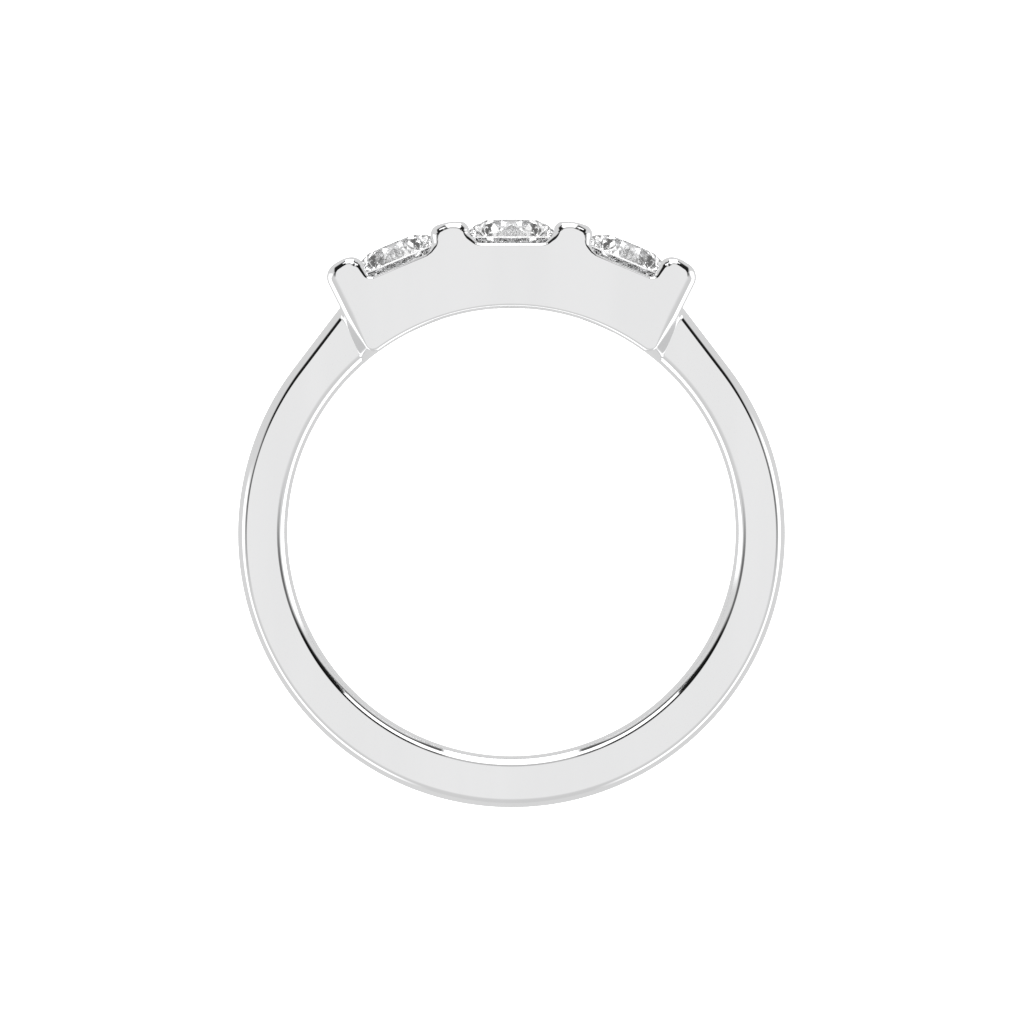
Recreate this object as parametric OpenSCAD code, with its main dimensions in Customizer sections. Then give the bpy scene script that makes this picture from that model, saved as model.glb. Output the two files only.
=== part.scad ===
// Three stone ring: a bar-set head with three round brilliants on a plain rounded shank.
// +Z runs along the finger and +Y from the finger to the middle stone; the origin is the centre of the finger hole.

/* [Finger hole] */
// Diameter of the finger hole
finger_d = 17.3; // [17:0.1:17.6]

/* [Shank] */
// Width of the shank along the finger
shank_w = 2.4; // [2:0.1:2.8]
// Thickness of the shank opposite the stones
shank_bottom_t = 1.98; // [1.9:0.02:2.1]
// Thickness that the shank's round outside would have under the middle stone
shank_top_t = 1.84; // [1.8:0.02:1.9]
// Rounding of the shank's four edges
shank_edge = 0.36; // [0.2:0.02:0.5]
// Angle above the finger's width at which each shoulder leaves the round and runs straight to the head
shoulder_angle = 37.3; // [36:0.1:38]

/* [Head] */
// Width of the head along the finger
head_w = 3.9; // [3.86:0.02:4.2]
// Height of the bars above the finger hole
bar_h = 3.58; // [3.5:0.01:3.65]
// Height of the scoops' floors above the finger hole
floor_h = 2.5; // [2.4:0.01:2.55]
// Distance from the middle stone's axis to the bar on either side
middle_wall_u = 1.65; // [1.6:0.01:1.7]
// Distance from a side stone's axis to the inner bar
inner_wall_u = 1.51; // [1.46:0.01:1.56]
// Distance from a side stone's axis to the end bar
outer_wall_u = 1.25; // [1.2:0.01:1.3]
// Distance from a side stone's axis to the head's end
end_wall_u = 2.76; // [2.7:0.01:2.8]
// Rounding of the head's edge round the finger hole
mouth_edge = 0.15; // [0.1:0.01:0.2]

/* [Stones] */
// Angle between neighbouring stones
stone_pitch = 22.7; // [22.6:0.1:23]
// Diameter of each stone
stone_d = 3.78; // [3.7:0.01:3.8]
// Table as a share of the diameter
table_ratio = 0.54; // [0.53:0.01:0.6]
// Height of the crown above the girdle
crown_h = 0.64; // [0.55:0.01:0.65]
// Thickness of the girdle where the main facets meet it
girdle_t = 0.09; // [0.06:0.01:0.12]
// Angle of the pavilion's main facets
pavilion_angle = 40.9; // [40.5:0.1:41.5]
// Height of the girdle's lower edge above the finger hole
girdle_h = 2.68; // [2.66:0.01:2.72]
// Gap between each stone and its seat
seat_gap = 0.03; // [0.02:0.01:0.04]
// Diameter of the open hole under each stone
back_hole_d = 1.6; // [1.2:0.1:1.8]

/* [Hidden] */
$fn = 96;

finger_r = finger_d / 2;
metal_colour = "#dcdde0";
stone_colour = "#eef4fa";

// The shank's outside is a circle that hangs a little below the finger hole's centre.
shank_r = finger_r + (shank_bottom_t + shank_top_t) / 2;
shank_drop = (shank_bottom_t - shank_top_t) / 2;
// Radii where the inner and outer parts of the shank end inside each other
inner_ring_r = shank_r - shank_edge - shank_drop - 0.1;
outer_arc_r = finger_r + shank_edge + 0.2;
// Length of a straight shoulder, to inside the head
shoulder_l = 3.4;
// Angle from the middle stone at which the inner ring ends, inside the head
ring_end_angle = 36;

stone_r = stone_d / 2;
table_r = stone_r * table_ratio;
culet_r = 0.02;
half_pitch = stone_pitch / 2;

// The head's outline, right of the middle stone, from the middle outwards: one row for each corner.
// Columns: angle of the axis that the corner is measured from, distance across that axis,
// height above the finger hole, corner radius, edge rounding, angle of its foot inside the finger hole
middle_rise = 0.32;
middle_run = 0.34;
side_rise = 0.28;
side_run = 0.31;
HEAD_CORNERS = [
    [0, middle_wall_u - middle_run, floor_h, 0.3, 0.09, 6.7],
    [0, middle_wall_u, floor_h + middle_rise, 0.11, 0.13, 11.4],
    [0, middle_wall_u, bar_top_h(middle_wall_u), 0.5, 0.23, 11.7],
    [stone_pitch, -inner_wall_u, bar_top_h(inner_wall_u), 0.42, 0.23, 12],
    [stone_pitch, -inner_wall_u, floor_h + side_rise, 0.11, 0.14, 12.3],
    [stone_pitch, side_run - inner_wall_u, floor_h, 0.3, 0.1, 16.5],
    [stone_pitch, outer_wall_u, floor_h, 0.12, 0.12, 31.3],
    [stone_pitch, outer_wall_u, bar_h, 0.48, 0.24, 31.8],
    [stone_pitch, end_wall_u, bar_h, 0.58, 0.25, 35.5],
    [stone_pitch, end_wall_u, -0.75, 0, 0.3, 38.5],
];
// Names of the table's columns
AXIS_ANGLE = 0;
ACROSS = 1;
HEIGHT = 2;
RADIUS = 3;
EDGE = 4;
FOOT = 5;
// Radius of the row of feet, which the finger hole cuts away
foot_r = finger_r - 0.1;
// Flat steps in each rounded corner of the outline, in each rounded edge and round the finger hole's mouth
corner_steps = 5;
edge_steps = 3;
mouth_steps = 4;
// Angle where a rounding of the head's edges turns into its straight run-out, whose length is a share of its radius
last_angle = 72;
run_out = 0.7;
// Distances that the head's skin and the finger hole's cutter go on past the head's faces
past_skin = 0.05;
past_face = 0.5;
// Flat steps in each rounded edge of the shank
section_steps = 6;

// Height at which an inner bar's flat top, square to the bar's own axis, meets the line at distance u from a stone's axis
function bar_top_h(u) = (finger_r + bar_h - u * sin(half_pitch)) / cos(half_pitch) - finger_r;

// Point at distance u across and v along an axis that leans by angle a from +Y towards +X
function lean(a, u, v) = [u * cos(a) + v * sin(a), v * cos(a) - u * sin(a)];
function corner_xy(row) = lean(row[AXIS_ANGLE], row[ACROSS], finger_r + row[HEIGHT]);
function unit(v) = v / norm(v);
function turn(a, b) = sign(a.x * b.y - a.y * b.x);
function mean(a, b) = (a + b) / 2;

// All corners from the left end of the head to its right end, as [xy, radius, edge rounding, foot angle]
CORNERS = concat(
    [for (i = [len(HEAD_CORNERS) - 1 : -1 : 0]) let (row = HEAD_CORNERS[i], p = corner_xy(row))
        [[-p.x, p.y], row[RADIUS], row[EDGE], -row[FOOT]]],
    [for (row = HEAD_CORNERS) [corner_xy(row), row[RADIUS], row[EDGE], row[FOOT]]]
);

// Stations along the outline, as [xy, direction into the metal, edge rounding, foot angle].
// A sharp end gives one station; a rounded corner gives points of the arc that touches both its sides.
function end_station(i) =
    let (
        last = len(CORNERS) - 1,
        travel = unit(i == 0 ? CORNERS[1][0] - CORNERS[0][0] : CORNERS[last][0] - CORNERS[last - 1][0])
    )
    [[CORNERS[i][0], [travel.y, -travel.x], CORNERS[i][2], CORNERS[i][3]]];

function arc_stations(i) =
    let (
        before = CORNERS[i - 1],
        here = CORNERS[i],
        after = CORNERS[i + 1],
        to_before = unit(before[0] - here[0]),
        to_after = unit(after[0] - here[0]),
        half = acos(to_before * to_after) / 2,
        r = here[1],
        centre = here[0] + unit(to_before + to_after) * r / sin(half),
        first = here[0] + to_before * r / tan(half) - centre,
        side = turn(-to_before, to_after),
        sweep = side * (180 - 2 * half),
        start = atan2(first.y, first.x)
    )
    [for (k = [0 : corner_steps]) let (
        share = k / corner_steps,
        a = start + sweep * share,
        out = [cos(a), sin(a)]
    ) [
        centre + r * out,
        side * out,
        mean(here[2], before[2]) * (1 - share) + mean(here[2], after[2]) * share,
        mean(here[3], before[3]) * (1 - share) + mean(here[3], after[3]) * share
    ]];

STATIONS = [
    for (i = [0 : len(CORNERS) - 1])
        each (i == 0 || i == len(CORNERS) - 1 ? end_station(i) : arc_stations(i))
];

// Quarter round of radius r, as [distance in from the wall, distance below the face]. It stops short of flat and
// runs out straight through the face, so that the face cuts it at a clear angle.
function run_out_round(r, steps) = let (
    arc = [for (k = [0 : steps]) let (a = last_angle * k / steps) r * [1 - cos(a), 1 - sin(a)]]
) concat(arc, [arc[steps] + run_out * r * [sin(last_angle), -cos(last_angle)]]);

// One section of the head, across its width at a station: up from beyond one face, over both rounded edges and
// down to beyond the other face
function foot_point(station, face) =
    [foot_r * sin(station[3]), foot_r * cos(station[3]), face * (head_w / 2 + past_skin)];
function rounded_edge(station, face) = let (
    profile = run_out_round(station[2], edge_steps),
    last = len(profile) - 1
) [
    for (k = [0 : last]) let (
        p = profile[face < 0 ? last - k : k],
        xy = station[0] + station[1] * p.x
    ) [xy.x, xy.y, face * (head_w / 2 - p.y)]
];
function head_section(station) = concat(
    [foot_point(station, -1)],
    rounded_edge(station, -1),
    rounded_edge(station, 1),
    [foot_point(station, 1)]
);

// Skin over the head's sections, which goes on past both faces
module head_skin() {
    sections = [for (s = STATIONS) head_section(s)];
    m = len(sections[0]);
    n = len(sections);
    polyhedron(
        points = [for (s = sections) each s],
        faces = concat(
            [for (i = [0 : n - 2], j = [0 : m - 1], part = [0, 1]) let (
                a = i * m + j,
                b = i * m + (j + 1) % m,
                c = (i + 1) * m + (j + 1) % m,
                d = (i + 1) * m + j
            ) part == 0 ? [a, c, b] : [a, d, c]],
            [[for (j = [0 : m - 1]) j], [for (j = [m - 1 : -1 : 0]) (n - 1) * m + j]]
        )
    );
}

// The head before the finger hole and the seats are cut: the skin, trimmed to two flat faces
module head_block() {
    intersection() {
        head_skin();
        cube([4 * shank_r, 4 * shank_r, head_w], center = true);
    }
}

// Finger hole, with the rounded edges that it has in the head
module finger_hole() {
    lip = [for (p = run_out_round(mouth_edge, mouth_steps)) [finger_r + p.x, head_w / 2 - p.y]];
    upper = concat(lip, [[lip[len(lip) - 1].x, head_w / 2 + past_face]]);
    lower = [for (k = [len(upper) - 1 : -1 : 0]) [upper[k].x, -upper[k].y]];
    rotate_extrude()
        polygon(concat([[0, -head_w / 2 - past_face]], lower, upper, [[0, head_w / 2 + past_face]]));
}

// Half of the shank's section: its face at radius face has two rounded edges, and it runs to radius hidden in the metal.
// The finger side has its face cut later, with the finger hole, so it starts at radius start inside the hole.
module half_section(start, face, hidden) {
    way = sign(hidden - face);
    upper = [for (k = [0 : section_steps]) let (a = 90 * k / section_steps)
        [face + way * shank_edge * (1 - cos(a)), shank_w / 2 - shank_edge * (1 - sin(a))]];
    lower = [for (k = [section_steps : -1 : 0]) [upper[k].x, -upper[k].y]];
    hidden_end = [[hidden, shank_w / 2], [hidden, -shank_w / 2]];
    flat_end = start == face ? [] : [[start, lower[section_steps].y], [start, upper[0].y]];
    polygon(concat(upper, hidden_end, lower, flat_end));
}

// Straight shoulder on the right, which goes on from the end of the round outside
module shoulder() {
    translate([0, -shank_drop, 0])
        rotate([0, 0, shoulder_angle])
            rotate([-90, 0, 0])
                linear_extrude(height = shoulder_l)
                    half_section(shank_r, shank_r, outer_arc_r);
}

module shank() {
    rotate_extrude(start = 90 + ring_end_angle, angle = 360 - 2 * ring_end_angle)
        half_section(foot_r, finger_r, inner_ring_r);
    translate([0, -shank_drop, 0])
        rotate_extrude(start = 180 - shoulder_angle, angle = 180 + 2 * shoulder_angle)
            half_section(shank_r, shank_r, outer_arc_r);
    shoulder();
    mirror([1, 0, 0])
        shoulder();
}

// Slopes of the stone's main facets, and where the crown's stars and the pavilion's halves begin
crown_slope = crown_h / (stone_r - table_r);
pavilion_slope = tan(pavilion_angle);
star_r = 1.42;
half_facet_r = 0.23 * stone_r;
stone_v = finger_r + girdle_h;

// Height of a junction on the ridge between two main facets, above the girdle
function junction_h(slope, r) = slope * (stone_r - r * cos(22.5));

// Moves what is drawn round Z to the axis of the stone at angle a
module at_stone(a) {
    rotate([0, 0, -a])
        rotate([-90, 0, 0])
            children();
}

// All planes of one side of a round brilliant, open to the other side: a flat tip, 8 kites, 8 stars and 16 halves.
// The halves run on past the girdle, where the round of the stone cuts them.
module facets(tip_r, slope, join_r) {
    past_r = 1.06 * stone_r;
    kite_r = 0.99 * stone_r;
    reach = 3;
    join_h = junction_h(slope, join_r);
    kite_h = slope * (stone_r - kite_r);
    fall = (stone_r * join_h - (stone_r - join_r) * kite_h) / (kite_r * (stone_r - join_r));
    valley_h = kite_h - fall * (past_r - kite_r);
    ridge_h = join_h * (stone_r - past_r) / (stone_r - join_r);
    function ring(count, r, h, turned) =
        [for (i = [0 : count - 1]) let (a = turned + 360 * i / count) [r * cos(a), r * sin(a), h]];
    outer = [for (i = [0 : 15]) let (a = 22.5 * (i + 1))
        [past_r * cos(a), past_r * sin(a), i % 2 == 0 ? valley_h : ridge_h]];
    points = concat(
        ring(8, tip_r, slope * (stone_r - tip_r), 22.5),
        ring(8, join_r, join_h, 45),
        ring(8, kite_r, kite_h, 22.5),
        outer,
        [for (p = outer) [p.x, p.y, -reach]]
    );
    polyhedron(points = points, faces = concat(
        [[for (i = [7 : -1 : 0]) i]],
        [for (i = [0 : 7]) [i, (i + 1) % 8, 8 + i]],
        [for (i = [0 : 7]) [i, 8 + i, 16 + i, 8 + (i + 7) % 8]],
        [for (i = [0 : 7]) [8 + i, 25 + 2 * i, 24 + 2 * i, 16 + i]],
        [for (i = [0 : 7]) [8 + i, 16 + (i + 1) % 8, 24 + (2 * i + 2) % 16, 25 + 2 * i]],
        [for (i = [0 : 15]) [24 + i, 24 + (i + 1) % 16, 40 + (i + 1) % 16, 40 + i]],
        [[for (i = [0 : 15]) 40 + i]]
    ));
}

module brilliant() {
    depth = 2;
    color(stone_colour)
        intersection() {
            translate([0, 0, stone_v - depth])
                cylinder(r = stone_r, h = depth + 1);
            translate([0, 0, stone_v + girdle_t])
                facets(table_r, crown_slope, star_r);
            translate([0, 0, stone_v])
                mirror([0, 0, 1])
                    facets(culet_r, pavilion_slope, half_facet_r);
        }
}

// Space cut for one stone: its round outline grown by the gap, and the open hole under it
module seat() {
    ridge = junction_h(crown_slope, star_r);
    crown_fall = ridge / (stone_r - star_r);
    pavilion_fall = junction_h(pavilion_slope, half_facet_r) / (stone_r - half_facet_r);
    crown_lift = seat_gap * sqrt(1 + crown_fall * crown_fall);
    pavilion_lift = seat_gap * sqrt(1 + pavilion_fall * pavilion_fall);
    top_v = stone_v + girdle_t;
    wide_r = stone_r + seat_gap;
    hole_r = back_hole_d / 2;
    rotate_extrude()
        polygon([
            [0, finger_r - 1],
            [hole_r, finger_r - 1],
            [hole_r, stone_v - pavilion_fall * (stone_r - hole_r) - pavilion_lift],
            [wide_r, stone_v + pavilion_fall * seat_gap - pavilion_lift],
            [wide_r, top_v - crown_fall * seat_gap + crown_lift],
            [star_r, top_v + ridge + crown_lift],
            [table_r, top_v + crown_h + crown_lift],
            [0, top_v + crown_h + crown_lift]
        ]);
}

// Shank and head, cast as one piece
module setting() {
    color(metal_colour)
        difference() {
            union() {
                shank();
                head_block();
            }
            finger_hole();
            for (a = [-stone_pitch, 0, stone_pitch])
                at_stone(a)
                    seat();
        }
}

module centre_stone() {
    at_stone(0)
        brilliant();
}

module left_stone() {
    at_stone(-stone_pitch)
        brilliant();
}

module right_stone() {
    at_stone(stone_pitch)
        brilliant();
}

setting();
centre_stone();
left_stone();
right_stone();
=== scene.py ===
"""Three stone ring in polished white gold, lying on its side and seen along the finger.

Every length is in metres, unless a docstring says millimetres. +Z runs along the finger, towards the
camera, and +Y from the finger to the middle stone. The origin is the centre of the finger hole.
"""

import logging
import math
from dataclasses import dataclass
from enum import Enum
from typing import Any, Iterable

import bmesh
import bpy
import numpy as np
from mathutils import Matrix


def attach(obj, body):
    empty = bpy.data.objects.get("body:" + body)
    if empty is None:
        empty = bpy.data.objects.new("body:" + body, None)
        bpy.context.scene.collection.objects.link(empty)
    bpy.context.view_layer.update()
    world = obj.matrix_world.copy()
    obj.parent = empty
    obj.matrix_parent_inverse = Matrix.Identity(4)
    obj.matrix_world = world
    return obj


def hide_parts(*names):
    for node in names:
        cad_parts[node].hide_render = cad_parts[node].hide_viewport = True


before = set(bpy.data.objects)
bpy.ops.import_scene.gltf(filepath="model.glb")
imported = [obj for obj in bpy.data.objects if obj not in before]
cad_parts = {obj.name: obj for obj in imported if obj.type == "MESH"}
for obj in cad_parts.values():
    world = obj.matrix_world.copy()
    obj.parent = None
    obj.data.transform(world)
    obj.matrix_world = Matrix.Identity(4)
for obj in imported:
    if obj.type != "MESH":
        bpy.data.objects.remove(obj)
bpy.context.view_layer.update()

log = logging.getLogger("three_stone_ring")

MM = 0.001
FINGER_R = 8.65 * MM
HEAD_HALF_W = 1.95 * MM
STONE_PITCH = math.radians(22.7)
STONE_LEANS = {"left_stone": -STONE_PITCH, "centre_stone": 0.0, "right_stone": STONE_PITCH}
BODY = "root"
SETTING = "setting"
WHITE = (1.0, 1.0, 1.0, 1.0)
MERGE_DISTANCE = 1e-8
CREASE = math.radians(33)
FULL_WEIGHT = 100

Colour = tuple[float, float, float, float]
Pair = tuple[float, float]


class Slot(Enum):
    """Material slots of the record."""

    WHITE_GOLD = "white_gold"
    STONE = "stone"


class Value:
    """A shader socket that takes part in arithmetic; each operation adds its Math node."""

    def __init__(self, tree: "Nodes", socket: Any) -> None:
        """Wraps a socket.

        Args:
            tree: the node tree that new nodes go to.
            socket: the output socket that carries the value.
        """
        self.tree = tree
        self.socket = socket

    def _math(self, operation: str, *inputs: Any) -> "Value":
        """Returns the result of one Math node with this operation on these inputs."""
        return self.tree.add("ShaderNodeMath", {"operation": operation}, dict(enumerate(inputs)))

    def __add__(self, other: Any) -> "Value":
        """This plus other."""
        return self._math("ADD", self, other)

    def __sub__(self, other: Any) -> "Value":
        """This minus other."""
        return self._math("SUBTRACT", self, other)

    def __mul__(self, other: Any) -> "Value":
        """This times other."""
        return self._math("MULTIPLY", self, other)

    def __truediv__(self, other: Any) -> "Value":
        """This over other."""
        return self._math("DIVIDE", self, other)

    def __radd__(self, other: Any) -> "Value":
        """Other plus this."""
        return self._math("ADD", other, self)

    def __rsub__(self, other: Any) -> "Value":
        """Other minus this."""
        return self._math("SUBTRACT", other, self)

    def __rmul__(self, other: Any) -> "Value":
        """Other times this."""
        return self._math("MULTIPLY", other, self)

    def __rtruediv__(self, other: Any) -> "Value":
        """Other over this."""
        return self._math("DIVIDE", other, self)

    def larger(self, other: Any) -> "Value":
        """The larger of the two."""
        return self._math("MAXIMUM", self, other)

    def size(self) -> "Value":
        """This without its sign."""
        return self._math("ABSOLUTE", self)

    def rise(self, start: float, end: float) -> "Value":
        """A smooth step.

        Args:
            start: the value at which the step leaves 0.
            end: the value at which it reaches 1; an end below start makes it fall.

        Returns:
            3t2 - 2t3 of the share t of the way from start to end, from 0 to 1.
        """
        step = self.tree.add(
            "ShaderNodeMapRange",
            {"interpolation_type": "SMOOTHSTEP"},
            {"Value": self, "From Min": min(start, end), "From Max": max(start, end)},
        )
        return step if start < end else 1 - step


class Nodes:
    """A material's or world's node tree, with one method for every kind of node."""

    def __init__(self, owner: Any) -> None:
        """Empties the owner's node tree.

        Args:
            owner: a material or a world.
        """
        owner.use_nodes = True
        self.tree = owner.node_tree
        self.tree.nodes.clear()

    def add(self, kind: str, settings: dict[str, Any], inputs: dict[Any, Any], output: Any = 0) -> Value:
        """Adds one node.

        Args:
            kind: the node's type name.
            settings: attributes of the node, set before its inputs.
            inputs: a value or a Value for each input socket, by name or number.
            output: name or number of the output that is returned.

        Returns:
            The chosen output.
        """
        node = self.tree.nodes.new(kind)
        for name, setting in settings.items():
            setattr(node, name, setting)
        for key, given in inputs.items():
            socket = node.inputs[key]
            if isinstance(given, Value):
                self.tree.links.new(given.socket, socket)
            else:
                socket.default_value = given
        return Value(self, node.outputs[output])

    def split(self, vector: Value) -> tuple[Value, ...]:
        """The X, Y and Z of a vector."""
        node = self.add("ShaderNodeSeparateXYZ", {}, {"Vector": vector}).socket.node
        return tuple(Value(self, part) for part in node.outputs)

    def blend(self, share: Value, first: Colour, second: Colour) -> Value:
        """Mixes two colours.

        Args:
            share: 0 for the first colour, 1 for the second.
            first: the one colour.
            second: the other colour.

        Returns:
            The mixed colour. Its sockets go by number, because those for plain numbers share their names.
        """
        first_colour, second_colour, mixed = 6, 7, 2
        inputs = {"Factor": share, first_colour: first, second_colour: second}
        return self.add("ShaderNodeMix", {"data_type": "RGBA"}, inputs, mixed)

    def glow(self, strength: float) -> Value:
        """A surface that gives off white light."""
        return self.add("ShaderNodeEmission", {}, {"Color": WHITE, "Strength": strength})

    def close(self, kind: str, surface: Value) -> None:
        """Links a shader to the surface of a new output node of this kind."""
        end = self.tree.nodes.new(kind)
        self.tree.links.new(surface.socket, end.inputs["Surface"])


@dataclass(frozen=True)
class WhiteGold:
    """Polished white gold: a bright mirror with a faint cloudiness and hair-fine polishing lines."""

    name: str = "polished_white_gold"
    bright: Colour = (0.93, 0.931, 0.935, 1.0)
    cloudy: Colour = (0.91, 0.911, 0.915, 1.0)
    cloud_scale: float = 420.0
    cloud_detail: float = 3.0
    cloud_stretch: float = 0.12
    cloud_range: Pair = (0.35, 0.65)
    roughness: float = 0.03
    roughness_spread: float = 0.03
    line_scale: float = 9000.0
    line_detail: float = 2.0
    line_strength: float = 0.3
    line_depth: float = 2e-8

    def make(self) -> bpy.types.Material:
        """Builds the material.

        Returns:
            A metal whose tint, roughness and normal vary with object coordinates.
        """
        material = bpy.data.materials.new(self.name)
        nodes = Nodes(material)
        place = nodes.add("ShaderNodeTexCoord", {}, {}, "Object")
        x, y, z = nodes.split(place)
        drawn = nodes.add("ShaderNodeCombineXYZ", {}, {"X": x, "Y": self.cloud_stretch * y, "Z": z})
        clouds = nodes.add(
            "ShaderNodeTexNoise",
            {},
            {"Vector": drawn, "Scale": self.cloud_scale, "Detail": self.cloud_detail},
        )
        lines = nodes.add(
            "ShaderNodeTexNoise",
            {},
            {"Vector": place, "Scale": self.line_scale, "Detail": self.line_detail},
        )
        bump = nodes.add(
            "ShaderNodeBump",
            {},
            {"Height": lines, "Strength": self.line_strength, "Distance": self.line_depth},
        )
        surface = nodes.add(
            "ShaderNodeBsdfPrincipled",
            {},
            {
                "Base Color": nodes.blend(clouds.rise(*self.cloud_range), self.bright, self.cloudy),
                "Metallic": 1.0,
                "Roughness": self.roughness + self.roughness_spread * clouds,
                "Normal": bump,
            },
        )
        nodes.close("ShaderNodeOutputMaterial", surface)
        return material


@dataclass(frozen=True)
class Diamond:
    """A colourless cut stone: clear and highly refractive, with a frosted girdle that also glows faintly, a
    painted highlight.

    Its axis leans by an angle from +Y towards +X, and the girdle's heights are along it.
    """

    name: str
    lean: float
    clear: Colour = WHITE
    veiled: Colour = (0.985, 0.988, 0.992, 1.0)
    veil_scale: float = 1500.0
    veil_range: Pair = (0.4, 0.7)
    ior: float = 2.417
    frost_and_painted_glow: Colour = (0.97, 0.97, 0.97, 1.0)
    frost_roughness: float = 0.5
    girdle_painted_glow: float = 0.3
    girdle_low: float = FINGER_R + 2.685 * MM
    girdle_high: float = FINGER_R + 2.75 * MM
    girdle_fade: float = 0.005 * MM

    def make(self) -> bpy.types.Material:
        """Builds the material.

        Returns:
            A fully transmitting surface whose tint varies slightly with object coordinates. Where the height
            along the stone's own axis is the girdle's, it's frosted instead, and gives off a faint light of
            its own:
            a painted highlight.
        """
        material = bpy.data.materials.new(self.name)
        nodes = Nodes(material)
        place = nodes.add("ShaderNodeTexCoord", {}, {}, "Object")
        x, y, _ = nodes.split(place)
        height = math.sin(self.lean) * x + math.cos(self.lean) * y
        veil = nodes.add("ShaderNodeTexNoise", {}, {"Vector": place, "Scale": self.veil_scale})
        tint = nodes.blend(veil.rise(*self.veil_range), self.clear, self.veiled)
        gem = nodes.add(
            "ShaderNodeBsdfPrincipled",
            {},
            {"Base Color": tint, "Roughness": 0.0, "IOR": self.ior, "Transmission Weight": 1.0},
        )
        girdle = nodes.add(
            "ShaderNodeBsdfPrincipled",
            {},
            {
                "Base Color": self.frost_and_painted_glow,
                # Painted highlight: the frosted girdle gives off light of its own colour, though it is no
                # lamp.
                "Roughness": self.frost_roughness,
                "Emission Color": self.frost_and_painted_glow,
                "Emission Strength": self.girdle_painted_glow,
            },
        )
        above = (height - self.girdle_low).rise(0.0, self.girdle_fade)
        below = (self.girdle_high - height).rise(0.0, self.girdle_fade)
        surface = nodes.add("ShaderNodeMixShader", {}, {0: above * below, 1: gem, 2: girdle})
        nodes.close("ShaderNodeOutputMaterial", surface)
        return material


def mesh_object(name: str, points: np.ndarray, faces: Iterable[Any]) -> bpy.types.Object:
    """Makes an object at the origin from points and faces.

    Args:
        name: the object's name.
        points: an array of shape (n, 3), in metres.
        faces: an array or list of vertex numbers for each face.

    Returns:
        The linked object, with its faces turned outwards.
    """
    mesh = bpy.data.meshes.new(name)
    mesh.from_pydata(points.tolist(), [], [list(map(int, f)) for f in faces])
    made = bmesh.new()
    made.from_mesh(mesh)
    bmesh.ops.remove_doubles(made, verts=made.verts, dist=MERGE_DISTANCE)
    bmesh.ops.recalc_face_normals(made, faces=made.faces)
    made.to_mesh(mesh)
    made.free()
    thing = bpy.data.objects.new(name, mesh)
    bpy.context.scene.collection.objects.link(thing)
    return thing


def grid_faces(rows: int, columns: int, closed_rows: bool, closed_columns: bool) -> np.ndarray:
    """Quads of a grid whose vertex (i, j) has number i * columns + j.

    Args:
        rows: number of rows.
        columns: number of columns.
        closed_rows: whether the last row joins the first.
        closed_columns: whether the last column joins the first.

    Returns:
        An array of shape (quads, 4).
    """
    i = np.arange(rows if closed_rows else rows - 1)
    j = np.arange(columns if closed_columns else columns - 1)
    i, j = (a.ravel() for a in np.meshgrid(i, j, indexing="ij"))
    i2, j2 = (i + 1) % rows, (j + 1) % columns
    return np.stack([i * columns + j, i * columns + j2, i2 * columns + j2, i2 * columns + j], axis=1)


def bearing_xy(angle: np.ndarray) -> np.ndarray:
    """Unit vectors in XY at an angle from +Y towards +X."""
    return np.stack([np.sin(angle), np.cos(angle)], axis=-1)


def bake_modifiers(thing: bpy.types.Object) -> None:
    """Replaces an object's mesh by the result of its modifiers, and removes them.

    Args:
        thing: the object.
    """
    bpy.context.view_layer.update()
    graph = bpy.context.evaluated_depsgraph_get()
    evaluated = thing.evaluated_get(graph)
    done = bpy.data.meshes.new_from_object(evaluated, preserve_all_data_layers=True, depsgraph=graph)
    thing.modifiers.clear()
    thing.data = done


def polish(thing: bpy.types.Object) -> None:
    """Shades an object smoothly except at creases, and keeps each flat's normal up to its rounded edges.

    Args:
        thing: the object. Its edges stay sharp where their faces turn by more than the crease angle.
    """
    thing.data.shade_smooth()
    thing.data.set_sharp_from_angle(angle=CREASE)
    smooth = thing.modifiers.new("flats", "WEIGHTED_NORMAL")
    smooth.mode = "FACE_AREA"
    smooth.weight = FULL_WEIGHT
    smooth.keep_sharp = True
    bake_modifiers(thing)


def edge_profile(tilt: np.ndarray, first_r: Any, second_r: Any) -> tuple[np.ndarray, np.ndarray]:
    """Profile of a rounded edge between a flat face and a wall, whose radius changes halfway.

    Args:
        tilt: angles between the face's normal and the edge's, from the face to the wall, along the last axis.
        first_r: the radius beside the face, a number or an array that goes with tilt.
        second_r: the radius beside the wall.

    Returns:
        The distance in from the wall and the depth below the face at each tilt. Both are the integral of the
        radius times the cosine or the sine of the tilt.
    """
    half = math.pi / 4
    first, second = np.minimum(tilt, half), np.maximum(tilt, half)
    along = first_r * np.sin(first) + second_r * (np.sin(second) - math.sin(half))
    depth = first_r * (1 - np.cos(first)) + second_r * (math.cos(half) - np.cos(second))
    return along[..., -1:] - along, depth


@dataclass(frozen=True)
class RoundedEdge:
    """Edge between a flat face and a wall. Its first half may be tight and its second a gentler dome."""

    tight: float
    gentle: float
    steps: int = 12

    @property
    def tilt(self) -> np.ndarray:
        """Angles between the face's normal and the edge's, from the face to the wall."""
        return np.linspace(0.0, math.pi / 2, 2 * self.steps + 1)

    @property
    def width(self) -> float:
        """Distance from the wall to where the face becomes flat."""
        return float(self.inset_and_depth()[0][0])

    def inset_and_depth(self) -> tuple[np.ndarray, np.ndarray]:
        """The distance in from the wall and the depth below the face at each tilt."""
        return edge_profile(self.tilt, self.tight, self.gentle)


def leaning(lean: float, across: float, along: float) -> np.ndarray:
    """Point at a distance across and along an axis that leans by an angle from +Y towards +X."""
    c, s = math.cos(lean), math.sin(lean)
    return np.array([across * c + along * s, along * c - across * s])


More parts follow.
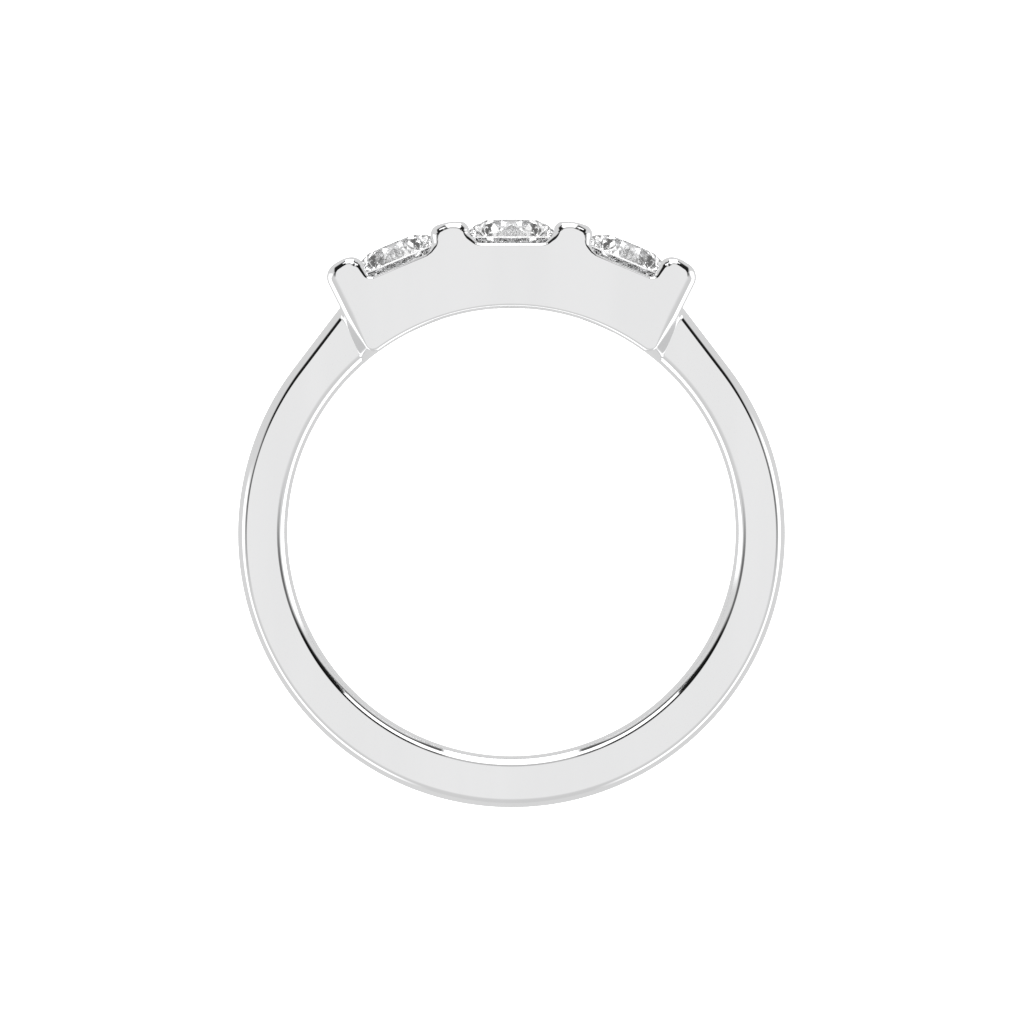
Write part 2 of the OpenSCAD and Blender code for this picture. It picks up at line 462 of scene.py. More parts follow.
@dataclass(frozen=True)
class Flank:
    """Flat end of the head on the right, where the shank comes in.

    Two points of its line are given by their distance from the side stone's axis and their height along it
    above the finger hole.
    """

    top_u: float = 2.86 * MM
    top_h: float = 3.435 * MM
    foot_u: float = 2.59 * MM
    foot_h: float = -0.75 * MM

    @property
    def top(self) -> np.ndarray:
        """Where the flank's line meets the top of the end bar."""
        return leaning(STONE_PITCH, self.top_u, FINGER_R + self.top_h)

    @property
    def foot(self) -> np.ndarray:
        """A point of the flank's line inside the finger hole."""
        return leaning(STONE_PITCH, self.foot_u, FINGER_R + self.foot_h)

    @property
    def axis(self) -> np.ndarray:
        """Direction along the flank, away from the finger."""
        return (self.top - self.foot) / np.linalg.norm(self.top - self.foot)

    @property
    def normal(self) -> np.ndarray:
        """Direction out of the head."""
        return np.array([self.axis[1], -self.axis[0]])

    @property
    def lean(self) -> float:
        """Angle of the flank from +Y towards +X."""
        return math.atan2(self.axis[0], self.axis[1])

    @property
    def across(self) -> float:
        """Distance of the flank's line from the centre of the finger hole."""
        return float(self.top @ self.normal)


@dataclass
class Shank:
    """The plain band: round inside, and outside a dropped circle with two straight shoulders.

    Each pair of the weld's sizes is for the finger side of the band's face and for its outer side. The head's
    edge is the radius of its rounding along the flank, and the step is its face's height over the band's.
    """

    half_w: float = 1.2 * MM
    outer_r: float = 10.56 * MM
    drop: float = 0.07 * MM
    shoulder_angle: float = math.radians(37.3)
    inner_edge: RoundedEdge = RoundedEdge(0.42 * MM, 0.42 * MM)
    outer_edge: RoundedEdge = RoundedEdge(0.27 * MM, 0.60 * MM)
    flank: Flank = Flank()
    buried: float = 0.62 * MM
    near: float = 0.75 * MM
    weld_reach: float = 0.21 * MM
    weld_cover: float = 0.05 * MM
    crease_width: float = 0.002 * MM
    weld_foot: Pair = (0.13 * MM, 0.03 * MM)
    weld_root: Pair = (0.004 * MM, 0.16 * MM)
    head_edge: Pair = (0.10 * MM, 0.30 * MM)
    step: float = 0.75 * MM
    section_counts: tuple[int, ...] = (6, 10, 1, 8, 1, 12)
    far_sections: int = 120
    face_columns: int = 24

    def half_paths(self) -> tuple[np.ndarray, ...]:
        """The inner and outer paths of the right half, from inside the head to the bottom.

        Returns:
            Points and normals out of the metal of the inner circle, then of the outside, each of shape
            (sections, 2). Near the head each section is parallel to the head's flank, and from there both
            paths are divided evenly by length. Lengths along the outside are negative on the shoulder.
        """
        gap, outer_gap = (self.near_gaps(np.array(share)) for share in (0.0, 1.0))
        u, outer_u = self.flank.across + gap, self.flank.across + outer_gap
        face_r = FINGER_R + self.inner_edge.width
        inner_bearing = self.flank.lean + np.arctan2(u, np.sqrt(face_r**2 - u**2))
        turn = math.pi / 2 - self.shoulder_angle
        out = bearing_xy(np.array(turn))
        along = np.array([-out[1], out[0]])
        corner = self.outer_r * out - np.array([0.0, self.drop])
        face_corner = corner - self.outer_edge.width * out
        run = (outer_u - face_corner @ self.flank.normal) / (along @ self.flank.normal)

        share = np.linspace(0.0, 1.0, self.far_sections)[1:]
        rest = math.pi - inner_bearing[-1]
        inner_bearing = np.concatenate([inner_bearing, inner_bearing[-1] + rest * share])
        arc_length = self.outer_r * (math.pi - turn)
        travelled = np.concatenate([-run, -run[-1] + (run[-1] + arc_length) * share])
        round_bearing = turn + np.maximum(travelled, 0.0) / self.outer_r
        normal = bearing_xy(round_bearing)
        straight = np.minimum(travelled, 0.0)[:, None] * along
        outer = self.outer_r * normal - np.array([0.0, self.drop]) - straight
        inner_normal = -bearing_xy(inner_bearing)
        return -FINGER_R * inner_normal, inner_normal, outer, normal

    def weld_shape(self, share: np.ndarray) -> tuple[np.ndarray, ...]:
        """Sizes of the weld, at shares of the way from the finger side of the face to its outer side.

        The weld is a straight ramp that comes out of the head and meets the band's face in a fillet. At the
        finger side it starts inside the head and covers part of the rounding of the head's edge. At the outer
        side it starts at the flank, where that rounding ends, and is lower and shorter.

        Args:
            share: 0 at the finger side, 1 at the outer side.

        Returns:
            How far the ramp reaches into the head, how far its foot stands out, the fillet's radius, the
            ramp's height, which is that of the head's rounding where the cover ends, and its slope.
        """
        cover = self.weld_cover * (1 - share) ** 4
        reach = self.weld_reach * (1 - share) + cover
        foot = self.weld_foot[0] + (self.weld_foot[1] - self.weld_foot[0]) * share**2
        root = self.weld_root[0] + (self.weld_root[1] - self.weld_root[0]) * share**6
        edge = self.head_edge[0] + (self.head_edge[1] - self.head_edge[0]) * share
        inset = 1 - cover / edge
        height = self.step - edge * (1 - np.sqrt(1 - inset**2))
        return reach, foot, root, height, np.arctan2(height, foot + reach)

    def near_gaps(self, share: np.ndarray) -> np.ndarray:
        """Distances of the sections near the head from its flank, closer together at the weld.

        Args:
            share: 0 at the finger side, 1 at the outer side.

        Returns:
            The distances, with the sections along the first axis and the shares along any second one. They
            are even between two of the weld's lines. The ramp's foot and the fillet's end are each two lines
            very close together, which keeps the shading of what they part from mixing.
        """
        reach, foot, root, _, slope = self.weld_shape(share)
        end = foot + root * np.tan(slope / 2)
        whole = np.ones_like(share)
        brink = foot - self.crease_width
        past = end + self.crease_width
        places = [-self.buried * whole, -reach, brink, foot, end, past, self.near * whole]
        spans = zip(places, places[1:], self.section_counts)
        runs = [np.linspace(begin, stop, count, endpoint=False) for begin, stop, count in spans]
        return np.concatenate([*runs, places[-1][None]])

    def weld(self, gap: np.ndarray, share: np.ndarray) -> np.ndarray:
        """Rise of the shank's side face where it is soldered to the head.

        Args:
            gap: distance out from the head's flank.
            share: 0 at the finger side of the face, 1 at its outer side.

        Returns:
            The rise at each point: on the ramp, its slope times the distance to the foot, and on the fillet,
            the radius less the height of its circle. It's at most the ramp's height.
        """
        _, foot, root, height, slope = self.weld_shape(np.clip(share, 0.0, 1.0))
        end = foot + root * np.tan(slope / 2)
        on_round = root - np.sqrt(np.maximum(root**2 - np.clip(end - gap, 0.0, root) ** 2, 0.0))
        on_ramp = (foot - gap) * np.tan(slope)
        rise = np.where(end - gap > root * np.sin(slope), on_ramp, on_round)
        return np.clip(np.where(gap > end, 0.0, rise), 0.0, height)

    def surface(self) -> tuple[np.ndarray, int, int]:
        """All points of the shank, section by section.

        A section goes along the inner edge's profile, the flat face and the outer edge's profile, and back
        along the same with Z reversed. Near the head, each point of the face is shifted to its own distance
        from the flank. The weld's rise is added to Z, times the square of the cosine of the edge's tilt. The
        left half is the right one with X reversed.

        Returns:
            Points of shape (sections * columns, 3), the number of sections and the number of columns.
        """
        inner, inner_out, outer, outer_out = self.half_paths()
        inset_in, depth_in = self.inner_edge.inset_and_depth()
        inset_out, depth_out = self.outer_edge.inset_and_depth()
        lift_in, lift_out = np.cos(self.inner_edge.tilt) ** 2, np.cos(self.outer_edge.tilt) ** 2

        finger_side = inner[:, None, :] - inner_out[:, None, :] * inset_in[::-1][None, :, None]
        far_side = outer[:, None, :] - outer_out[:, None, :] * inset_out[None, :, None]
        share = np.linspace(0.0, 1.0, self.face_columns + 2)[1:-1]
        face = finger_side[:, -1:, :] * (1 - share)[None, :, None] + far_side[:, :1, :] * share[None, :, None]
        gaps = self.near_gaps(share)
        shift = gaps - (face[: len(gaps)] @ self.flank.normal - self.flank.across)
        face[: len(gaps)] += shift[..., None] * self.flank.normal
        xy = np.concatenate([finger_side, face, far_side], axis=1)
        z = self.half_w - np.concatenate([depth_in[::-1], np.zeros(self.face_columns), depth_out])
        weight = np.concatenate([lift_in[::-1], np.ones(self.face_columns), lift_out])

        gap = xy @ self.flank.normal - self.flank.across
        low, high = (edge @ self.flank.axis for edge in (finger_side[:, -1], far_side[:, 0]))
        height_share = (xy @ self.flank.axis - low[:, None]) / (high - low)[:, None]
        z = z[None, :] + weight[None, :] * self.weld(gap, height_share)
        top = np.concatenate([xy, z[..., None]], axis=2)
        loop = np.concatenate([top, top[:, ::-1] * np.array([1.0, 1.0, -1.0])], axis=1)
        mirrored = loop[-2::-1] * np.array([-1.0, 1.0, 1.0])
        whole = np.concatenate([loop, mirrored], axis=0)
        sections, columns = whole.shape[:2]
        return whole.reshape(-1, 3), sections, columns

    def build(self, finish: bpy.types.Material) -> bpy.types.Object:
        """Builds the shank.

        Args:
            finish: the metal.

        Returns:
            The finished object.
        """
        points, sections, columns = self.surface()
        faces = grid_faces(sections, columns, False, True).tolist()
        first = list(range(columns))
        faces += [first, [(sections - 1) * columns + j for j in first]]
        thing = mesh_object("shank", points, faces)
        polish(thing)
        thing.data.materials.append(finish)
        return thing


@dataclass(frozen=True)
class Corner:
    """A corner of the head's outline, in a stone's own axes, with its radius and the rounding of its edges.

    Its lengths are in millimetres.
    """

    lean: float
    across: float
    height: float
    radius: float
    edge: float

    def xy(self) -> np.ndarray:
        """The corner's place in XY."""
        return leaning(self.lean, self.across * MM, FINGER_R + self.height * MM)


@dataclass(frozen=True)
class Seat:
    """A stone's seat and the open hole under it, the same as in the solids, in millimetres.

    The pavilion's fall is its depth for each length in from the girdle.
    """

    stone_r: float = 1.89
    star_r: float = 1.42
    table_r: float = 1.0206
    hole_r: float = 0.8
    hole_start: float = -1.0
    girdle_h: float = 2.68
    girdle: float = 0.09
    star_h: float = 0.49
    table_h: float = 0.68
    pavilion_fall: float = 0.8662 * 1.0155
    side_gap: float = 0.03
    cone_gap: float = 0.04
    base_gap: float = 0.02
    segments: int = 128

    def profile(self) -> np.ndarray:
        """Profile of what is cut away for a stone.

        Returns:
            Radii and heights along the stone's axis, in metres, of shape (points, 2): the hole, the cone
            under the pavilion, the wall round the girdle, and the room for the crown.
        """
        base = FINGER_R / MM + self.girdle_h
        top = base + self.girdle
        wall_r = self.stone_r + self.side_gap
        cone_h = base - self.pavilion_fall * (self.stone_r - self.hole_r) - self.cone_gap
        return np.array([
            [0.0, FINGER_R / MM + self.hole_start],
            [self.hole_r, FINGER_R / MM + self.hole_start],
            [self.hole_r, cone_h],
            [wall_r, base - self.base_gap],
            [wall_r, top + self.side_gap],
            [self.star_r, top + self.star_h],
            [self.table_r, top + self.table_h],
            [0.0, top + self.table_h],
        ]) * MM

    def cutter(self) -> bpy.types.Object:
        """The three cutters together.

        Returns:
            One object. Each cutter is the profile turned about +Y, then leant with its stone.
        """
        turn = np.linspace(0.0, 2 * math.pi, self.segments, endpoint=False)
        r, v = self.profile().T
        ring = np.stack([
            r[None, :] * np.cos(turn)[:, None],
            np.broadcast_to(v, (len(turn), len(v))),
            r[None, :] * np.sin(turn)[:, None],
        ], axis=2).reshape(-1, 3)
        flat = grid_faces(len(turn), len(v), True, False)
        points, faces = [], []
        for number, lean in enumerate(STONE_LEANS.values()):
            c, s = math.cos(lean), math.sin(lean)
            x, y, z = ring.T
            points.append(np.stack([x * c + y * s, y * c - x * s, z], axis=1))
            faces.append(flat + number * len(ring))
        return mesh_object("seat_cutter", np.concatenate(points), np.concatenate(faces))


@dataclass
class Head:
    """The bar-set head: four bars with three scooped seats between them.

    The scoops' floor and walls are in millimetres, as the corners are. Along the flank, the radius of the
    edges' rounding is larger beside the face and smaller beside the wall, by the two soft shares.
    """

    floor_h: float = 2.5
    middle_wall: float = 1.62
    inner_wall: float = 1.5
    outer_wall: float = 1.27
    flank: Flank = Flank()
    seat: Seat = Seat()
    mouth_edge: float = 0.18 * MM
    toe_radius: float = 0.40 * MM
    toe_edge: float = 0.10 * MM
    toe_set_in: float = 0.2 * MM
    soft_face: float = 0.7
    soft_wall: float = 0.3
    waist_v: float = 10.2 * MM
    corner_steps: int = 14
    edge_steps: int = 7
    mouth_steps: int = 64

    def corners(self) -> list[Corner]:
        """Corners of the outline's right half, from its middle to the flank.

        Returns:
            Three corners up from the middle scoop's floor, the middle of the bar, three down to the side
            scoop's floor, two up its outer wall, and two along the top of the end bar.
        """
        side, floor = STONE_PITCH, self.floor_h
        middle, inner, outer = self.middle_wall, self.inner_wall, self.outer_wall
        return [
            Corner(0.0, middle - 0.34, floor, 0.30, 0.13),
            Corner(0.0, middle, floor + 0.32, 0.25, 0.22),
            Corner(0.0, middle, 3.33, 0.37, 0.36),
            Corner(side / 2, 0.0, 3.57, 2.0, 0.27),
            Corner(side, -inner, 3.42, 0.42, 0.36),
            Corner(side, -inner, floor + 0.28, 0.25, 0.22),
            Corner(side, 0.31 - inner, floor, 0.30, 0.08),
            Corner(side, outer, floor, 0.14, 0.10),
            Corner(side, outer, 3.435, 0.53, 0.37),
            Corner(side, 1.88, 3.595, 1.1, 0.27),
            Corner(side, self.flank.top_u / MM, self.flank.top_h / MM, 0.60, 0.30),
        ]

    def top_stations(self) -> tuple[np.ndarray, ...]:
        """Outline from the middle of the middle scoop to the top of the right flank.

        Each corner becomes the arc that touches both its sides. The rounding is the corner's own at the
        middle of its arc, and at either end it has gone a third of the way to the next corner's. The last
        station is the flank's waist.

        Returns:
            Points and directions out of the metal, each of shape (stations, 2), the rounding at each, and how
            soft it is, which is 0 up to the last corner and rises over its arc to 1 on the flank.
        """
        rows = self.corners()
        spots = [row.xy() for row in rows]
        start = spots[0] * np.array([-1.0, 1.0])
        before = [start] + spots[:-1]
        after = spots[1:] + [self.flank.foot]
        edges = np.array([row.edge for row in rows]) * MM
        lead = np.concatenate([edges[:1], edges[:-1]])
        follow = np.concatenate([edges[1:], edges[-1:]])
        share = np.linspace(0.0, 1.0, self.corner_steps + 1)
        points, normals, rounding = [], [], []
        for i, row in enumerate(rows):
            to_before = (before[i] - spots[i]) / np.linalg.norm(before[i] - spots[i])
            to_after = (after[i] - spots[i]) / np.linalg.norm(after[i] - spots[i])
            half = math.acos(float(to_before @ to_after)) / 2
            middle = (to_before + to_after) / np.linalg.norm(to_before + to_after)
            centre = spots[i] + middle * row.radius * MM / math.sin(half)
            bulge = np.sign(to_before[0] * to_after[1] - to_before[1] * to_after[0])
            begin = math.atan2(*(-middle)[::-1]) + bulge * (math.pi / 2 - half)
            angle = begin - bulge * (math.pi - 2 * half) * share
            out = np.stack([np.cos(angle), np.sin(angle)], axis=1)
            points.append(centre + row.radius * MM * out)
            normals.append(bulge * out)
            ease = np.interp(share, [0.0, 0.5, 1.0], [1.0, 0.0, 1.0]) / 3
            other = np.where(share < 0.5, lead[i], follow[i])
            rounding.append(edges[i] * (1 - ease) + other * ease)
        points.append((self.flank.across * self.flank.normal + self.waist_v * self.flank.axis)[None, :])
        normals.append(self.flank.normal[None, :])
        rounding.append(edges[-1:])
        soft = np.concatenate([np.zeros(len(share) * (len(rows) - 1)), share, [1.0]])
        return np.concatenate(points), np.concatenate(normals), np.concatenate(rounding), soft

    def toe_stations(self) -> tuple[np.ndarray, ...]:
        """Outline round the right toe, where the flank turns into the finger hole.

        Returns:
            The same four arrays for the arc of the toe's radius that touches the finger hole and a line set
            in from the flank. The rounding goes from the toe's to the mouth's in a smooth step, and isn't
            soft.
        """
        u = self.flank.across - self.toe_set_in - self.toe_radius
        reach = FINGER_R + self.toe_radius
        v = math.sqrt(reach**2 - u**2)
        centre = u * self.flank.normal + v * self.flank.axis
        finger = -centre / np.linalg.norm(centre)
        start = math.atan2(self.flank.normal[1], self.flank.normal[0])
        turn = math.atan2(finger[1], finger[0]) - start
        share = np.linspace(0.0, 1.0, self.corner_steps + 1)
        angle = start + turn * share
        out = np.stack([np.cos(angle), np.sin(angle)], axis=1)
        rounding = self.toe_edge + (self.mouth_edge - self.toe_edge) * (3 - 2 * share) * share**2
        return centre + self.toe_radius * out, out, rounding, np.zeros(len(share))

    def outline(self) -> tuple[np.ndarray, ...]:
        """The whole closed outline.

        Returns:
            The same four arrays for the right half, the finger hole's arc between the toes, and the left
            half, which is the right one with X and its order reversed.
        """
        top, toe = self.top_stations(), self.toe_stations()
        points, normals, rounding, soft = (np.concatenate([a, b]) for a, b in zip(top, toe))
        flip = np.array([-1.0, 1.0])
        last = math.atan2(points[-1][0], points[-1][1])
        bearing = np.linspace(last, -last, self.mouth_steps + 1)[1:-1]
        out = -bearing_xy(bearing)
        return (
            np.concatenate([points, -FINGER_R * out, points[::-1] * flip]),
            np.concatenate([normals, out, normals[::-1] * flip]),
            np.concatenate([rounding, np.full(len(bearing), self.mouth_edge), rounding[::-1]]),
            np.concatenate([soft, np.zeros(len(bearing)), soft[::-1]]),
        )

    def block(self) -> bpy.types.Object:
        """The head before its seats are cut.

        Returns:
            The outline, extruded along the finger. At each station the edge's profile is laid in from the
            outline along its normal, on the front and, with Z reversed, on the back.
        """
        points, normals, rounding, soft = self.outline()
        tilt = np.linspace(0.0, math.pi / 2, 2 * self.edge_steps + 1)
        face_r = (rounding * (1 + self.soft_face * soft))[:, None]
        wall_r = (rounding * (1 - self.soft_wall * soft))[:, None]
        inset, depth = edge_profile(tilt, face_r, wall_r)
        xy = points[:, None, :] - normals[:, None, :] * inset[..., None]
        z = HEAD_HALF_W - depth
        top = np.concatenate([xy, z[..., None]], axis=2)
        rows = np.concatenate([top, top[:, ::-1] * np.array([1.0, 1.0, -1.0])], axis=1)
        stations, columns = rows.shape[:2]
        faces = grid_faces(stations, columns, True, False).tolist()
        ring = np.arange(stations) * columns
        faces += [ring.tolist(), (ring + columns - 1).tolist()]
        return mesh_object("head", rows.reshape(-1, 3), faces)

    def build(self, finish: bpy.types.Material) -> bpy.types.Object:
        """Builds the head.

        Args:
            finish: the metal.

        Returns:
            The finished object.
        """
        thing, cutter = self.block(), self.seat.cutter()
        cut = thing.modifiers.new("seats", "BOOLEAN")
        cut.operation = "DIFFERENCE"
        cut.solver = "EXACT"
        cut.object = cutter
        bake_modifiers(thing)
        bpy.data.objects.remove(cutter)
        polish(thing)
        thing.data.materials.clear()
        thing.data.materials.append(finish)
        return thing


@dataclass
class Stones:
    """The three round brilliants, which are the model's own cut solids."""

    leans: tuple[float, ...] = tuple(STONE_LEANS.values())

    def dress(self) -> list[bpy.types.Object]:
        """Gives each stone its own material, which knows how far the stone leans.

        Returns:
            The stones.
        """
        found = [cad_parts[name] for name in STONE_LEANS]
        for stone, lean in zip(found, self.leans):
            stone.data.materials.clear()
            stone.data.materials.append(Diamond(f"{stone.name}_cut", lean).make())
        return found


@dataclass(frozen=True)
class Change:
    """A number that goes smoothly from one value to another while an angle goes from start to end."""

    first: float
    last: float
    start: float
    end: float

    def at(self, angle: Value) -> Value:
        """The first value, plus the angle's smooth step times the way to the last."""
        return self.first + (self.last - self.first) * angle.rise(self.start, self.end)


@dataclass(frozen=True)
class Direction:
    """A direction in the room.

    Climb is its angle from straight above and bearing its angle from the picture's top to either side, both
    in degrees. X is positive on the right.
    """

    climb: Value
    bearing: Value
    x: Value


@dataclass(frozen=True)
class Room:
    """The light that comes from each direction: a light grey room with white cards and dark cloths.

    It's the same on the left and on the right, but for the reach of the side card. Angles are in degrees. A
    card or cloth begins at the first number of a pair and is whole at the second. The lens has a pair of
    sizes, in climb and in bearing. The ring's and the cloth's blur are half the width of an edge.
    """

    grey: float = 0.72
    zenith: float = 0.87
    zenith_climb: Pair = (30, 4)
    shade: float = 0.09
    shade_climb: Pair = (4, 50)
    shade_bearing: Pair = (88, 106)

    ring_dark: float = 0.97
    ring_share: Change = Change(0.38, 0.83, 21, 28)
    ring_bearing: Pair = (108, 80)
    ring_start: Pair = (4, 9)
    ring_end: Change = Change(24, 32, 50, 90)
    ring_blur: float = 5

    cloth_dark: Change = Change(0.86, 0.98, 20, 27)
    cloth_start: Pair = (6, 12)
    cloth_end: Change = Change(82, 68, 20, 27)
    cloth_cut: Change = Change(0, 30, 40, 66)
    cloth_blur: float = 10
    cloth_near: Pair = (15.5, 18)
    cloth_far: Pair = (73, 63)

    card: float = 1.5
    lens_climb: float = 46
    lens_bearing: float = 24
    lens_size: Pair = (8, 6)
    lens_edge: Pair = (1.3, 0.7)

    side_start: Change = Change(36, 56, 86, 104)
    side_blur: Change = Change(18, 4, 86, 104)
    side_cut: Change = Change(0, 25, 84, 66)
    side_end: Pair = (112, 100)
    side_near: Pair = (74, 84)
    side_far: Pair = (163, 148)
    right_reach: float = 12
    right_x: Pair = (-0.05, 0.05)

    slit_bearing: float = 22.7
    slit_edge: Pair = (1.6, 0.8)
    slit_start: Pair = (16, 24)
    slit_end: Pair = (46, 38)

    top_card: float = 2.5
    top_bearing: Pair = (18, 15.5)
    top_start: Pair = (26, 36)
    top_end: Pair = (100, 88)
    backdrop: float = 1.08

    def direction(self, nodes: Nodes) -> Direction:
        """Reads the direction of the light.

        Args:
            nodes: the world's nodes.

        Returns:
            The direction. Climb is the arc cosine of Z, and the bearing's tangent is the size of X over Y.
        """
        x, y, z = nodes.split(nodes.add("ShaderNodeTexCoord", {}, {}, "Generated"))
        degrees = 180 / math.pi
        climb = degrees * nodes.add("ShaderNodeMath", {"operation": "ARCCOSINE"}, {0: z})
        bearing = degrees * nodes.add("ShaderNodeMath", {"operation": "ARCTAN2"}, {0: x.size(), 1: y})
        return Direction(climb, bearing, x)

    def ring(self, way: Direction) -> Value:
        """Depth of the dark ring round the zenith.

        Args:
            way: the direction.

        Returns:
            The product of the steps at its two rims, its share, and its fade towards the picture's bottom.
        """
        outer = (way.climb - self.ring_end.at(way.bearing)).rise(self.ring_blur, -self.ring_blur)
        depth = self.ring_share.at(way.bearing) * way.bearing.rise(*self.ring_bearing)
        return way.climb.rise(*self.ring_start) * outer * depth

    def cloth(self, way: Direction) -> Value:
        """Cover of the black cloth between the top card and the side card.

        Args:
            way: the direction.

        Returns:
            The product of the steps at its four edges. The lower one comes up in two steps to the side.
        """
        edge = self.cloth_end.at(way.bearing) - self.cloth_cut.at(way.bearing)
        lower = (way.climb - edge).rise(self.cloth_blur, -self.cloth_blur)
        near, far = way.bearing.rise(*self.cloth_near), way.bearing.rise(*self.cloth_far)
        return way.climb.rise(*self.cloth_start) * lower * near * far

    def walls(self, way: Direction) -> Value:
        """Light of the room without its cards.

        Args:
            way: the direction.

        Returns:
            The room's grey, which rises to the zenith's, times what the shade on the lower side, the dark
            ring and the cloth each leave of it.
        """
        bare = self.grey + (self.zenith - self.grey) * way.climb.rise(*self.zenith_climb)
        shade = self.shade * way.climb.rise(*self.shade_climb) * way.bearing.rise(*self.shade_bearing)
        ring = self.ring_dark * self.ring(way)
        cloth = self.cloth_dark.at(way.bearing) * self.cloth(way)
        return bare * (1 - shade) * (1 - ring) * (1 - cloth)

    def lens(self, way: Direction) -> Value:
        """Cover of the small white card in the cloth.

        Args:
            way: the direction.

        Returns:
            A smooth step of the sum of the squares of the distances from its middle over its sizes.
        """
        up = (way.climb - self.lens_climb) / self.lens_size[0]
        across = (way.bearing - self.lens_bearing) / self.lens_size[1]
        return (up * up + across * across).rise(*self.lens_edge)

    def side_card(self, way: Direction) -> Value:
        """Cover of the white card at the side.

        Args:
            way: the direction.

        Returns:
            The product of the steps at its four edges. The upper edge is lower and sharper towards the
            picture's bottom. Towards its top the lower edge rises, and the card reaches further on the right.
        """
        upper = (way.climb - self.side_start.at(way.bearing)) / self.side_blur.at(way.bearing)
        lower = (way.climb + self.side_cut.at(way.bearing)).rise(*self.side_end)
        near = (way.bearing + self.right_reach * way.x.rise(*self.right_x)).rise(*self.side_near)
        return upper.rise(0, 1) * lower * near * way.bearing.rise(*self.side_far)

    def slit(self, way: Direction) -> Value:
        """The narrow strip of light between the top card and the cloth.

        Args:
            way: the direction.

        Returns:
            The product of the steps across the strip and at its two ends.
        """
        across = (way.bearing - self.slit_bearing).size().rise(*self.slit_edge)
        return across * way.climb.rise(*self.slit_start) * way.climb.rise(*self.slit_end)

    def build(self) -> None:
        """Makes the world: the walls, the cards and the slit before them, and a white backdrop."""
        world = bpy.data.worlds.new("studio")
        bpy.context.scene.world = world
        nodes = Nodes(world)
        way = self.direction(nodes)
        cards = self.lens(way).larger(self.side_card(way))
        light = (self.walls(way) * (1 - cards) + self.card * cards).larger(self.slit(way))
        steps = (way.climb.rise(*self.top_start), way.climb.rise(*self.top_end))
        top = way.bearing.rise(*self.top_bearing) * steps[0] * steps[1]
        light = light * (1 - top) + self.top_card * top
        seen = nodes.add("ShaderNodeLightPath", {}, {}, "Is Camera Ray")
        shown = light * (1 - seen) + self.backdrop * seen
        surface = nodes.add("ShaderNodeBackground", {}, {"Color": WHITE, "Strength": shown})
        nodes.close("ShaderNodeOutputWorld", surface)


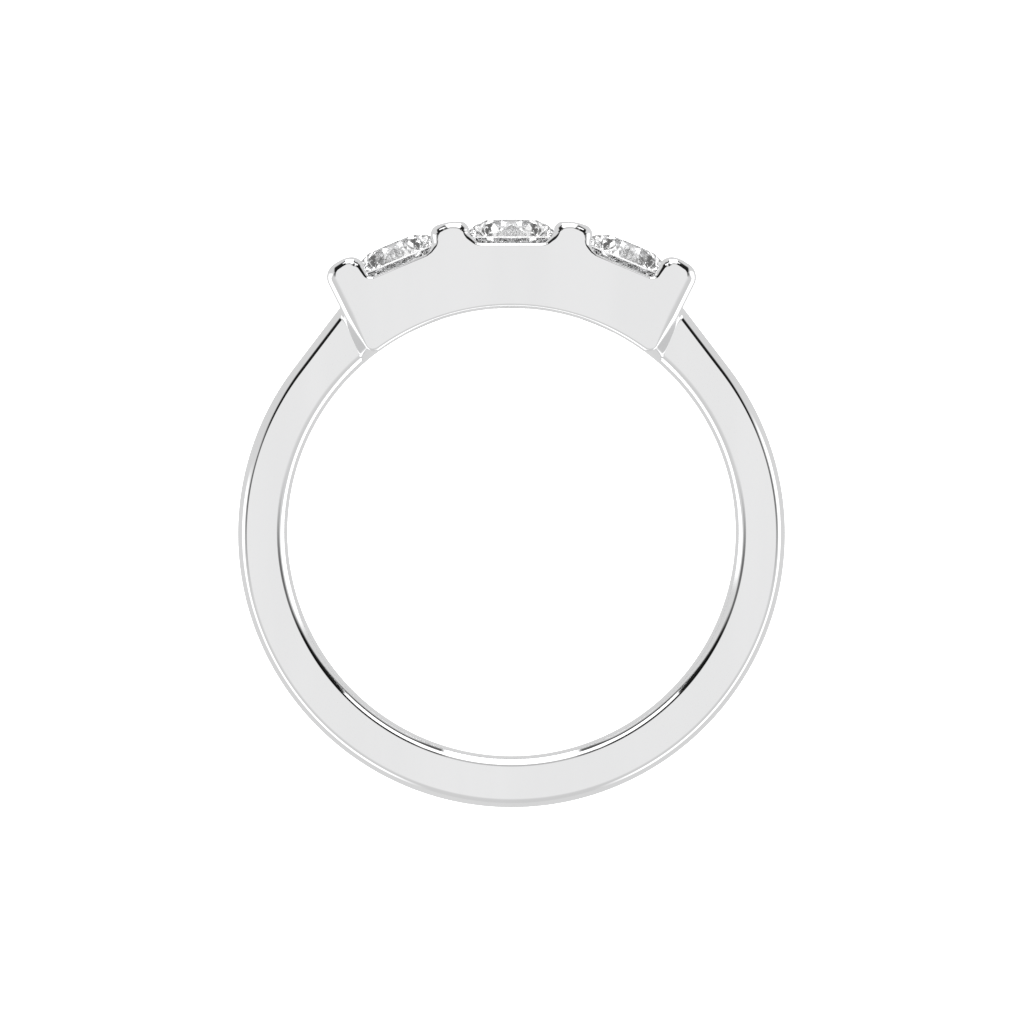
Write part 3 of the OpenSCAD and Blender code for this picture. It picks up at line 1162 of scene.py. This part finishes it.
@dataclass
class Studio:
    """The camera, the room, the pale floor and the small card over the finger hole.

    The picture's width, the pixels of a metre and the ring's pixel are the photograph's. Glass and metal each
    have their own number of bounces.
    """

    camera_distance: float = 1.0
    clip: Pair = (0.01, 100.0)
    pixels_per_metre: float = 25900.0
    picture: int = 1024
    ring_px: Pair = (511.5, 532.0)
    sensor: float = 36.0
    room: Room = Room()
    floor_size: float = 6.0
    floor_drop: float = 1.96 * MM
    floor_glow: float = 2.2
    fan_h: float = 8 * MM
    fan_r: float = 6.0 * MM
    fan_angle: float = math.radians(46)
    fan_steps: int = 24
    bounces: int = 40
    metal_bounces: int = 12

    def camera(self) -> bpy.types.Object:
        """Places the camera over the ring, looking down the finger hole.

        Returns:
            The camera. Its focal length makes one millimetre of the ring's middle plane fill its share of
            the picture, and its place off the axis puts the hole's centre on its pixel.
        """
        seen = self.picture / self.pixels_per_metre
        data = bpy.data.cameras.new("camera")
        data.sensor_width = self.sensor
        data.lens = self.sensor * self.camera_distance / seen
        data.clip_start, data.clip_end = self.clip
        camera = bpy.data.objects.new("camera", data)
        middle = self.picture / 2
        camera.location = (
            (middle - self.ring_px[0]) / self.pixels_per_metre,
            (self.ring_px[1] - middle) / self.pixels_per_metre,
            self.camera_distance,
        )
        bpy.context.scene.collection.objects.link(camera)
        bpy.context.scene.camera = camera
        return camera

    def floor(self) -> bpy.types.Object:
        """Lays the floor that the head's side face rests on.

        Returns:
            The floor. The camera sees it bright, also through the stones, and the metal reflects it grey.
        """
        half = self.floor_size / 2
        low = -self.floor_drop
        corners = np.array([[-half, -half, low], [half, -half, low], [half, half, low], [-half, half, low]])
        thing = mesh_object("floor", corners, [[0, 1, 2, 3]])
        material = bpy.data.materials.new("pale_floor")
        nodes = Nodes(material)
        seen = nodes.add("ShaderNodeLightPath", {}, {}, "Is Camera Ray")
        through = nodes.add("ShaderNodeLightPath", {}, {}, "Is Transmission Ray")
        grey, bright = nodes.glow(self.room.grey), nodes.glow(self.floor_glow)
        surface = nodes.add("ShaderNodeMixShader", {}, {0: seen.larger(through), 1: grey, 2: bright})
        nodes.close("ShaderNodeOutputMaterial", surface)
        thing.data.materials.append(material)
        return thing

    def small_card(self) -> bpy.types.Object:
        """Hangs the small white card over the finger hole, which the shank's lower inner edge reflects.

        Returns:
            The card, a fan that opens down the picture from the ring's centre. The camera doesn't see it.
        """
        rim = -self.fan_r * bearing_xy(np.linspace(-self.fan_angle, self.fan_angle, self.fan_steps))
        flat = np.concatenate([np.zeros((1, 2)), rim])
        points = np.concatenate([flat, np.full((len(flat), 1), self.fan_h)], axis=1)
        thing = mesh_object("small_card", points, [range(len(points))])
        material = bpy.data.materials.new("white_card")
        nodes = Nodes(material)
        nodes.close("ShaderNodeOutputMaterial", nodes.glow(self.room.card))
        thing.data.materials.append(material)
        thing.visible_camera = False
        return thing

    def settle(self) -> None:
        """Sets plain colour rendering, and enough bounces for light to leave the stones."""
        scene = bpy.context.scene
        scene.view_settings.view_transform = "Standard"
        scene.view_settings.look = "None"
        scene.cycles.max_bounces = self.bounces
        scene.cycles.transmission_bounces = self.bounces
        scene.cycles.glossy_bounces = self.metal_bounces


def main() -> None:
    """Builds the studio and the ring, attaches the shank and the head to their body, and dresses the stones.
    """
    logging.basicConfig(level=logging.INFO, format="%(message)s")
    studio = Studio()
    studio.camera()
    studio.floor()
    studio.room.build()
    studio.small_card()
    studio.settle()

    metal = WhiteGold().make()
    for part in (Shank().build(metal), Head().build(metal)):
        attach(part, BODY)
        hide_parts(SETTING)
        log.info("%s: %d faces", part.name, len(part.data.polygons))
    for stone in Stones().dress():
        log.info("%s: %d faces", stone.name, len(stone.data.polygons))


if __name__ == "__main__":
    main()
